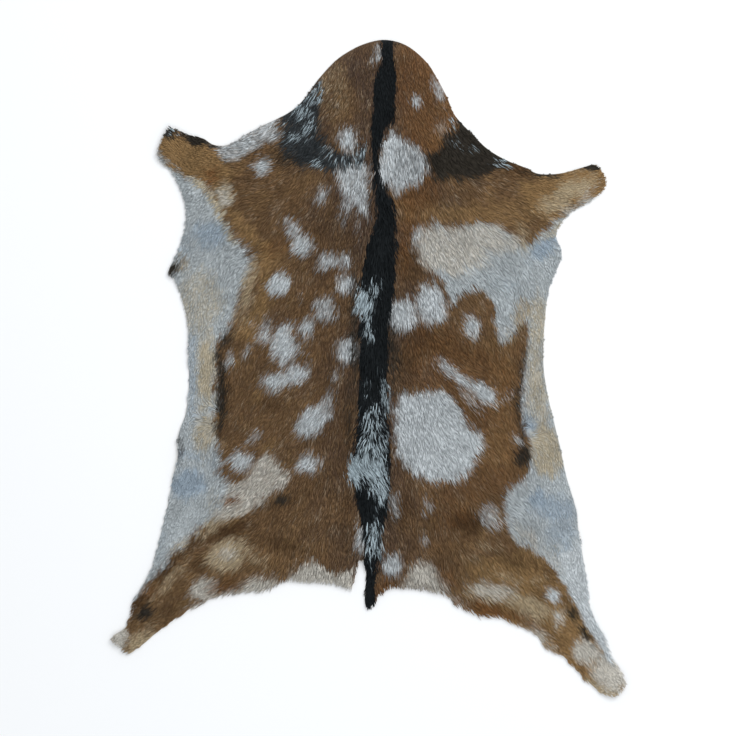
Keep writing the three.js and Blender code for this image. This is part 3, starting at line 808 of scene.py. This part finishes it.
class Bench:
    """A node tree and the one method that puts nodes on it."""

    def __init__(self, tree):
        self.tree = tree

    def node(self, kind, settings=None, sockets=None):
        node = self.tree.nodes.new(kind)
        for name, value in (settings or {}).items():
            setattr(node, name, value)
        for key, value in (sockets or {}).items():
            if isinstance(key, int):
                socket = node.inputs[key]
            else:
                socket = next(s for s in node.inputs if s.name == key and s.enabled)
            if isinstance(value, Signal):
                self.tree.links.new(value.socket, socket)
            elif isinstance(value, bpy.types.NodeSocket):
                self.tree.links.new(value, socket)
            else:
                socket.default_value = value
        return node

    def out(self, kind, settings=None, sockets=None, output=0):
        return Signal(self, self.node(kind, settings, sockets).outputs[output])

    def number_on_mesh(self, name):
        settings = {"attribute_type": "GEOMETRY", "attribute_name": name}
        return self.out("ShaderNodeAttribute", settings, {}, "Fac")

    def finish(self, material, height, strength, distance, **shader):
        """A bump from the height, one Principled shader, and the output."""
        relief = {"Height": height, "Strength": strength, "Distance": distance}
        sockets = {name.replace("_", " "): value for name, value in shader.items()}
        sockets["Normal"] = self.out("ShaderNodeBump", {}, relief)
        principled = self.node("ShaderNodeBsdfPrincipled", {}, sockets)
        self.node("ShaderNodeOutputMaterial", {}, {0: principled.outputs[0]})
        return material

    def noise(self, place, scale, detail):
        sockets = {"Vector": place, "Scale": scale, "Detail": detail}
        return self.out("ShaderNodeTexNoise", {}, sockets)

    def mix(self, base, over, share):
        sockets = {0: share, 6: base, 7: over}
        return self.out("ShaderNodeMix", {"data_type": "RGBA"}, sockets, 2)


def colour(red, green, blue):
    """A colour as one reads it off a screen, 0 to 255, in the linear values that Blender uses."""
    parts = [value / 255 for value in (red, green, blue)]
    linear = [v / 12.92 if v <= 0.04045 else ((v + 0.055) / 1.055) ** 2.4 for v in parts]
    return (*linear, 1.0)


def new_material(name):
    material = bpy.data.materials.new(name)
    material.use_nodes = True
    material.node_tree.nodes.clear()
    return material, Bench(material.node_tree)


# %% [markdown]
# Colours of a goat
#
# The ground colour is a warm brown. Over it come umber by the back, frosted tips, tan legs, darker
# smudges, pale flanks with beige and with bluish skin that glimmers through, fawn and cream on the
# legs and rump, russet, white marks, slate and charcoal shoulders, the black line of the back and
# the grizzled hair in it. The bluish layer also paints shade into one crease of the left flank, and
# the grizzled layer paints a highlight on the black of the left foreleg. Each is laid over the one
# before, by its mark. A chance number, fixed for each lock, pushes that lock towards having the
# colour or not. How hard it pushes is the layer's clearness: low, and neighbours blend softly;
# high, and each lock takes one side, as grizzle does.

# %% Colours and the order in which they lie on each other
GROUND = colour(119, 92, 64)
LAYERS = [
    # mark, colour, how clearly a lock takes one side
    ("umber", colour(88, 70, 58), 0.5),
    ("frost", colour(164, 144, 120), 1.2),
    ("tan", colour(149, 119, 80), 0.5),
    ("brown_dark", colour(86, 63, 40), 0.5),
    ("pale", colour(190, 196, 198), 0.6),
    ("beige", colour(194, 182, 158), 0.6),
    ("blue", colour(165, 179, 191), 0.5),
    ("fawn", colour(182, 164, 134), 0.7),
    ("cream", colour(202, 197, 187), 0.6),
    ("russet", colour(127, 88, 52), 0.5),
    ("white", colour(204, 209, 211), 0.6),
    ("slate", colour(56, 60, 62), 1.0),
    ("charcoal", colour(54, 49, 42), 0.9),
    ("black", colour(24, 28, 30), 1.8),
    ("grizzle", colour(174, 188, 194), 3.0),
]


def coat_colour(bench, chance):
    """The ground colour with every layer over it. chance(i) is a number from 0 to 1."""
    base = GROUND
    for i, (mark, over, clearness) in enumerate(LAYERS):
        strength = bench.number_on_mesh(mark)
        share = ((strength - chance(i)) * clearness + strength).clamped()
        base = bench.mix(base, over, share)
    return base


def shaded(bench, base, amount):
    """The colour times a grey, which darkens or lightens it without changing its hue."""
    grey = bench.out("ShaderNodeCombineColor", {}, {0: amount, 1: amount, 2: amount})
    settings = {"data_type": "RGBA", "blend_type": "MULTIPLY"}
    return bench.out("ShaderNodeMix", settings, {0: 1.0, 6: base, 7: grey}, 2)


# %% The finish of the locks
def finish_of_locks():
    material, bench = new_material("hair_locks")
    chance = bench.number_on_mesh("chance")
    from_root = bench.number_on_mesh("from_root")
    over_lock = bench.number_on_mesh("over_lock")
    base = coat_colour(bench, lambda i: (chance * (7.3 + 3.7 * i) + 0.13 * i).fract())
    # painted shade: each lock is darker at the root, where it lies under the locks above it, and
    # lighter towards the tip. A random tone for each lock comes on top, and white and pale hair gets
    # less of both
    calm = (bench.number_on_mesh("white") + bench.number_on_mesh("pale")).clamped()
    root_shade_and_unevenness = from_root * 0.18 + (chance * 91.7).fract() * 0.13
    tone = 0.84 + calm * 0.07 + root_shade_and_unevenness * (1 - calm * 0.5)
    base = shaded(bench, base, tone * bench.number_on_mesh("tone"))
    # nine hairs side by side over a lock, each nearly even from root to tip
    places = {0: over_lock * 9, 1: from_root * 2, 2: chance * 50}
    hairs = bench.out("ShaderNodeCombineXYZ", {}, places)
    fine = bench.noise(hairs, 1.0, 2.0)
    return bench.finish(
        material, fine, 0.3, 0.0006,
        Base_Color=base, Roughness=0.5 + fine * 0.25, Specular_IOR_Level=0.12,
    )


hair_finish = finish_of_locks()
print("nodes in the finish of the locks:", len(hair_finish.node_tree.nodes))


# %% The finish of the mat
def finish_of_mat():
    material, bench = new_material("short_hair")
    place = bench.out("ShaderNodeTexCoord", {}, {}, "Object")
    tufts = bench.noise(place, 330.0, 4.0)
    hairs = bench.noise(place, 1500.0, 3.0)
    base = coat_colour(bench, lambda i: tufts * 0.6 + hairs * 0.4)
    # painted shade: the short hair is darkened to between a half and the whole of its colour, varying
    # with the fine hairs, as the shade that falls between the locks
    base = shaded(bench, base, (0.5 + hairs * 0.5) * bench.number_on_mesh("tone"))
    return bench.finish(
        material, tufts * 0.7 + hairs * 0.3, 0.8, 0.0015,
        Base_Color=base, Roughness=0.7 + hairs * 0.2, Specular_IOR_Level=0.2,
    )


mat.data.materials.append(finish_of_mat())


# %% [markdown]
# The finish of the skin
#
# The skin side of a hide is napped: shaving lifts a short, matt velvet. It is pale, a little
# warmer along the back where it is thick, with faint veins and rubbed places.


# %% Napped leather
def finish_of_skin():
    material, bench = new_material("napped_skin")
    place = bench.out("ShaderNodeTexCoord", {}, {}, "Object")
    clouds = bench.noise(place, 14.0, 4.0)
    nap = bench.noise(place, 1400.0, 2.0)
    pull = bench.noise(place, 90.0, 3.0)
    veins = bench.out("ShaderNodeTexVoronoi", {"feature": "DISTANCE_TO_EDGE"}, {
        "Vector": place, "Scale": 22.0, "Randomness": 1.0,
    })
    vein = (1 - veins * 26).clamped() * 0.18
    base = bench.mix(colour(196, 184, 164), colour(216, 208, 194), clouds)
    base = bench.mix(base, colour(168, 146, 120), vein)
    base = shaded(bench, base, 0.82 + nap * 0.3)
    return bench.finish(
        material, nap * 0.5 + pull * 0.5, 0.6, 0.0006,
        Base_Color=base, Roughness=0.82 + nap * 0.15, Specular_IOR_Level=0.2, Sheen_Weight=0.15,
    )


skin.data.materials.append(finish_of_skin())

# %% [markdown]
# One lock
#
# Hair doesn't lie singly: a few dozen hairs keep together in a lock that is narrow at the root,
# widest in the middle and drawn out to a point. A lock is a bent three-sided spike with very few
# faces, because there will be many thousands of it. It is one long and one wide here, and gets
# its real size where it is placed. Four shapes, with different bends, keep the coat lively.


# %% Shape a lock
def shape_lock(name, sections, sway):
    """sections: (how far along, half width, height of the middle); sway bends it sideways."""
    verts, faces, notes = [], [], []
    for far, half, lift in sections:
        side = sway * math.sin(far * math.pi * 1.1) * 0.1
        for corner, (u, h) in enumerate(((-1, 0), (1, 0), (0, 1))):
            verts.append((u * half + side * 8, far, lift + h * half))
            notes.append((far, (0.0, 1.0, 0.5)[corner]))
    verts.append((sway * math.sin(math.pi * 1.1) * 0.8, 1.0, sections[-1][2] * 0.5))
    notes.append((1.0, 0.5))
    tip = len(verts) - 1
    faces.append((0, 1, 2))
    for k in range(len(sections) - 1):
        for a in range(3):
            b = (a + 1) % 3
            faces.append((3 * k + a, 3 * k + 3 + a, 3 * k + 3 + b, 3 * k + b))
    last = 3 * (len(sections) - 1)
    for a in range(3):
        faces.append((last + a, tip, last + (a + 1) % 3))
    mesh = bpy.data.meshes.new(name)
    mesh.from_pydata(verts, [], faces)
    mesh.polygons.foreach_set("use_smooth", [True] * len(faces))
    for index, attribute in enumerate(("from_root", "over_lock")):
        layer = mesh.attributes.new(attribute, "FLOAT", "POINT")
        layer.data.foreach_set("value", [note[index] for note in notes])
    return put_in_scene(name, mesh)


SHORT_LOCK = [(0.0, 0.2, -0.6), (0.45, 0.5, 0.65)]
LONG_LOCK = [(0.0, 0.2, -0.6), (0.3, 0.45, 0.9), (0.62, 0.42, 0.6)]
straight_lock = shape_lock("straight_lock", SHORT_LOCK, 0.0)
left_lock = shape_lock("left_lock", SHORT_LOCK, -0.9)
right_lock = shape_lock("right_lock", SHORT_LOCK, 0.9)
wavy_left = shape_lock("wavy_left_lock", LONG_LOCK, -1.1)
wavy_right = shape_lock("wavy_right_lock", LONG_LOCK, 1.1)
print("faces in a lock:", len(straight_lock.data.polygons), "and", len(wavy_left.data.polygons))

# %% [markdown]
# Growing the coat
#
# Geometry Nodes scatter points over the mat, turn a lock at each to the direction that the comb
# has left there, and scale it to the hair's length. Instances keep that light until the end,
# where they are made real, because only real faces can be exported.

# %% The tree that grows locks
tree = bpy.data.node_groups.new("grow_locks", "GeometryNodeTree")
INPUTS = [
    ("Mat", "NodeSocketGeometry", None),
    ("Lock", "NodeSocketObject", None),
    ("Locks per square metre", "NodeSocketFloat", 44000.0),
    ("Only where", "NodeSocketString", "grows"),
    ("Width", "NodeSocketFloat", 0.002),
    ("Thickness", "NodeSocketFloat", 0.001),
    ("Length share", "NodeSocketFloat", 1.0),
    ("Stray", "NodeSocketFloat", 0.2),
    ("Rise", "NodeSocketFloat", 0.08),
    ("Part to each side", "NodeSocketFloat", 0.0),
    ("Seed", "NodeSocketInt", 1),
    ("Finish", "NodeSocketMaterial", None),
]
sockets_by_name = {}
for name, kind, default in INPUTS:
    socket = tree.interface.new_socket(name=name, in_out="INPUT", socket_type=kind)
    if default is not None:
        socket.default_value = default
    sockets_by_name[name] = socket.identifier
tree.interface.new_socket(name="Coat", in_out="OUTPUT", socket_type="NodeSocketGeometry")

grow = Bench(tree)
given = grow.node("NodeGroupInput")


def asked(name):
    """One of the tree's inputs, ready to be reckoned with."""
    return Signal(grow, given.outputs[name])


def vary(low, high, seed):
    """A different number for each lock."""
    settings = {"data_type": "FLOAT"}
    return grow.out("FunctionNodeRandomValue", settings, {"Min": low, "Max": high, "Seed": seed}, 1)


def stored(name, kind):
    return grow.out("GeometryNodeInputNamedAttribute", {"data_type": kind}, {"Name": name})


seed = asked("Seed")
density = stored(given.outputs["Only where"], "FLOAT") * asked("Locks per square metre")
points = grow.out(
    "GeometryNodeDistributePointsOnFaces",
    {"distribute_method": "RANDOM"},
    {"Mesh": given.outputs["Mat"], "Density": density, "Seed": seed},
)
points = grow.out(
    "GeometryNodeStoreNamedAttribute",
    {"data_type": "FLOAT", "domain": "POINT"},
    {"Geometry": points, "Name": "chance", "Value": vary(0.0, 1.0, seed + 11)},
)
lay = stored("lay", "FLOAT_VECTOR")
stray = asked("Stray")
sideways = vary(-1.0, 1.0, seed + 21) + vary(-1.0, 1.0, seed + 22)
rise = asked("Rise") * vary(0.1, 1.9, seed + 23)
parted = asked("Part to each side") * stored("side", "FLOAT")
jitter = grow.out("ShaderNodeCombineXYZ", {}, {
    0: sideways * stray * 0.5 + parted,
    1: vary(-1.0, 1.0, seed + 24) * stray * 0.5,
    2: rise,
})
way = grow.out("ShaderNodeVectorMath", {"operation": "ADD"}, {0: lay, 1: jitter})
turned = grow.out("FunctionNodeAlignRotationToVector", {"axis": "Y"}, {"Vector": way})
turned = grow.out(
    "FunctionNodeAlignRotationToVector",
    {"axis": "Z", "pivot_axis": "Y"},
    {"Rotation": turned, "Vector": (0.0, 0.0, 1.0)},
)
size = grow.out("ShaderNodeCombineXYZ", {}, {
    0: asked("Width") * vary(0.75, 1.3, seed + 31),
    1: stored("hair_length", "FLOAT")
    * asked("Length share")
    * vary(0.72, 1.08, seed + 32),
    2: given.outputs["Thickness"],
})
shape = grow.out("GeometryNodeObjectInfo", {}, {"Object": given.outputs["Lock"]}, "Geometry")
locks = grow.out(
    "GeometryNodeInstanceOnPoints",
    {},
    {"Points": points, "Instance": shape, "Rotation": turned, "Scale": size},
)
real = grow.out("GeometryNodeRealizeInstances", {}, {"Geometry": locks})
done = grow.out(
    "GeometryNodeSetMaterial", {}, {"Geometry": real, "Material": given.outputs["Finish"]}
)
grow.node("NodeGroupOutput", {}, {0: done})
print("nodes in the tree:", len(tree.nodes))


# %% Grow a piece of the coat
note_on_mat("side", np.tanh(beside_line(photo_x, photo_y) / 4))


def small_cells(piece, lock):
    """A map for baking that gives every lock one small cell of the picture."""
    mesh, model = piece.data, lock.data
    corners = len(model.loops)
    count = len(mesh.loops) // corners
    own = np.array([
        (model.attributes["over_lock"].data[loop.vertex_index].value,
         model.attributes["from_root"].data[loop.vertex_index].value)
        for loop in model.loops
    ])
    across_cells = math.ceil(math.sqrt(count))
    number = np.arange(count)
    cell = np.column_stack([number % across_cells, number // across_cells])
    uv = (cell[:, None, :] + 0.1 + 0.8 * own[None, :, :]) / across_cells
    layer = mesh.uv_layers.new(name="OFBake")
    layer.data.foreach_set("uv", uv.astype(np.float32).ravel())
    return count


def grow_locks(name, lock, **values):
    """Runs the tree on the mat and keeps the result as a plain mesh."""
    host = put_in_scene(name + "_host", mat.data)
    modifier = host.modifiers.new("grow", "NODES")
    modifier.node_group = tree
    modifier[sockets_by_name["Lock"]] = lock
    modifier[sockets_by_name["Finish"]] = hair_finish
    for key, value in values.items():
        modifier[sockets_by_name[key.replace("_", " ")]] = value
    grown = host.evaluated_get(bpy.context.evaluated_depsgraph_get())
    mesh = bpy.data.meshes.new_from_object(grown)
    bpy.data.objects.remove(host)
    mesh.name = name
    for layer in list(mesh.attributes):
        if layer.name in ("lay", "hair_length", "grows", "ridge", "side", "OFBake"):
            mesh.attributes.remove(layer)
    piece = put_in_scene(name, mesh)
    count = small_cells(piece, lock)
    triangles = sum(len(p.vertices) - 2 for p in mesh.polygons)
    print(name, count, "locks,", triangles, "triangles")
    return piece


# %% [markdown]
# The layers of the coat
#
# The short locks come in four layers with different shapes, so that no piece gets too heavy. The
# line of the back has its own long, wavy hair, which parts to both sides over the loin.

# %% Grow the layers
coat = [
    grow_locks("coat_locks_straight", straight_lock, Seed=3, Width=0.0017),
    grow_locks("coat_locks_left", left_lock, Seed=57, Width=0.0015),
    grow_locks("coat_locks_right", right_lock, Seed=131, Width=0.0015),
    grow_locks("coat_locks_fine", straight_lock, Seed=219, Width=0.0011, Stray=0.24, Rise=0.09),
]
ridge_values = dict(
    Only_where="ridge", Length_share=1.3, Width=0.0018, Stray=0.22, Rise=0.1,
    Part_to_each_side=0.12, Locks_per_square_metre=60000.0,
)
coat += [
    grow_locks("ridge_locks_left", wavy_left, Seed=301, **ridge_values),
    grow_locks("ridge_locks_right", wavy_right, Seed=377, **ridge_values),
]
for model in (straight_lock, left_lock, right_lock, wavy_left, wavy_right):
    bpy.data.objects.remove(model)

# %% [markdown]
# Every piece rides on one body
#
# The hide has no joints, so every piece rides on its one body. The mat stands for the CAD solid.

# %% Ride on the body, and let the mat replace the CAD solid
for piece in (skin, mat, *coat):
    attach(piece, "root")
    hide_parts("goatskin")

# %% [markdown]
# Floor, light and camera
#
# The photograph looks straight down on the hide, in cool, even light, on a plain pale ground. The
# camera hangs far above with a long lens, so that nothing leans.

# %% A plain pale floor
FLOOR_SIZE = 8
FLOOR_DROP = 0.0004  # the floor lies a hair's breadth under the skin, so the two don't flicker
bpy.ops.mesh.primitive_plane_add(size=FLOOR_SIZE, location=(0, 0, -FLOOR_DROP))
floor = bpy.context.object
floor.name = "floor"
floor_material, floor_bench = new_material("pale_floor")
floor_shader = floor_bench.node("ShaderNodeBsdfPrincipled", {}, {
    "Base Color": (0.9, 0.9, 0.9, 1.0),
    "Roughness": 0.9,
    "Specular IOR Level": 0.1,
})
floor_bench.node("ShaderNodeOutputMaterial", {}, {0: floor_shader.outputs[0]})
floor.data.materials.append(floor_material)

# %% Soft studio light
world = bpy.data.worlds.new("soft_sky")
bpy.context.scene.world = world
world.use_nodes = True
world.node_tree.nodes["Background"].inputs["Color"].default_value = (0.92, 0.96, 1.0, 1.0)
world.node_tree.nodes["Background"].inputs["Strength"].default_value = 0.72


def add_softbox(name, place, size, power):
    light = bpy.data.lights.new(name, "AREA")
    light.shape = "RECTANGLE"
    light.size = size
    light.size_y = size
    light.energy = power
    lamp = put_in_scene(name, light)
    lamp.location = place
    lamp.rotation_euler = (Vector((0, 0, 0)) - Vector(place)).to_track_quat("-Z", "Y").to_euler()


add_softbox("window", (1.3, 1.6, 2.4), 2.0, 55)
add_softbox("fill", (0.4, -2.1, 2.6), 2.4, 18)

# %% The camera straight above
CAMERA_HEIGHT = 5.5
COAT_HEIGHT = 0.006
SENSOR = 36
FRAME_WIDTH = 736 * PIXEL * MM
camera_data = bpy.data.cameras.new("camera")
camera_data.sensor_width = SENSOR
camera_data.lens = SENSOR * (CAMERA_HEIGHT - COAT_HEIGHT) / FRAME_WIDTH
camera = put_in_scene("camera", camera_data)
camera.location = (0.5 * PIXEL * MM, 0, CAMERA_HEIGHT)
bpy.context.scene.camera = camera
bpy.context.scene.view_settings.view_transform = "Standard"
print("lens:", round(camera_data.lens), "mm")
